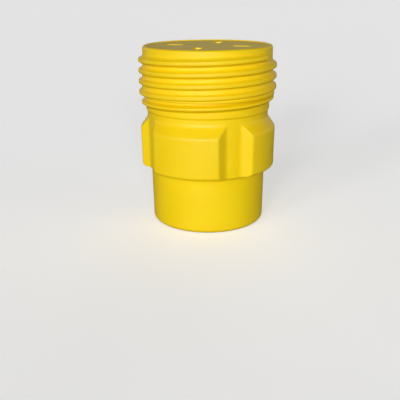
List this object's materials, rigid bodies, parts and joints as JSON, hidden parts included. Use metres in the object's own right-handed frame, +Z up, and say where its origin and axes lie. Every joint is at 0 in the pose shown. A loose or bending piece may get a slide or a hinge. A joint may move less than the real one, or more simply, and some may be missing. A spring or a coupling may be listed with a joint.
{
  "type": "overpack salvage drum",
  "caption": "Wide open-top plastic overpack drum with moulded grip lugs on its sides and a deep screw lid with a coarse thread and a gasket.",
  "frame": {"origin": "centre of the base, on the floor", "axes": "+Z up along the drum's axis, -Y towards the middle of one of the four side lugs"},
  "size_m": [0.8128, 0.8128, 1.054],
  "materials": {
    "drum_plastic": "satin moulded polyethylene, yellow",
    "lid_plastic": "satin moulded polyethylene, yellow",
    "gasket_foam": "closed-cell foam, dark grey"
  },
  "bodies": {
    "drum": {"drum_body": "drum_plastic"},
    "seal": {"lid_gasket": "gasket_foam"},
    "lid": {"screw_lid": "lid_plastic"}
  },
  "joints": [
    {"name": "lid_rise", "type": "slide", "parent": "drum", "child": "seal", "axis": [0, 0, 1], "range_m": [0, 0.307]},
    {"name": "lid_turn", "type": "hinge", "parent": "seal", "child": "lid", "pos_m": [0, 0, 0.9], "axis": [0, 0, 1], "range_deg": [0, 1800]}
  ],
  "couplings": [
    {"joint": "lid_rise", "follows": "lid_turn", "m_per_rad": 0.0097562}
  ]
}
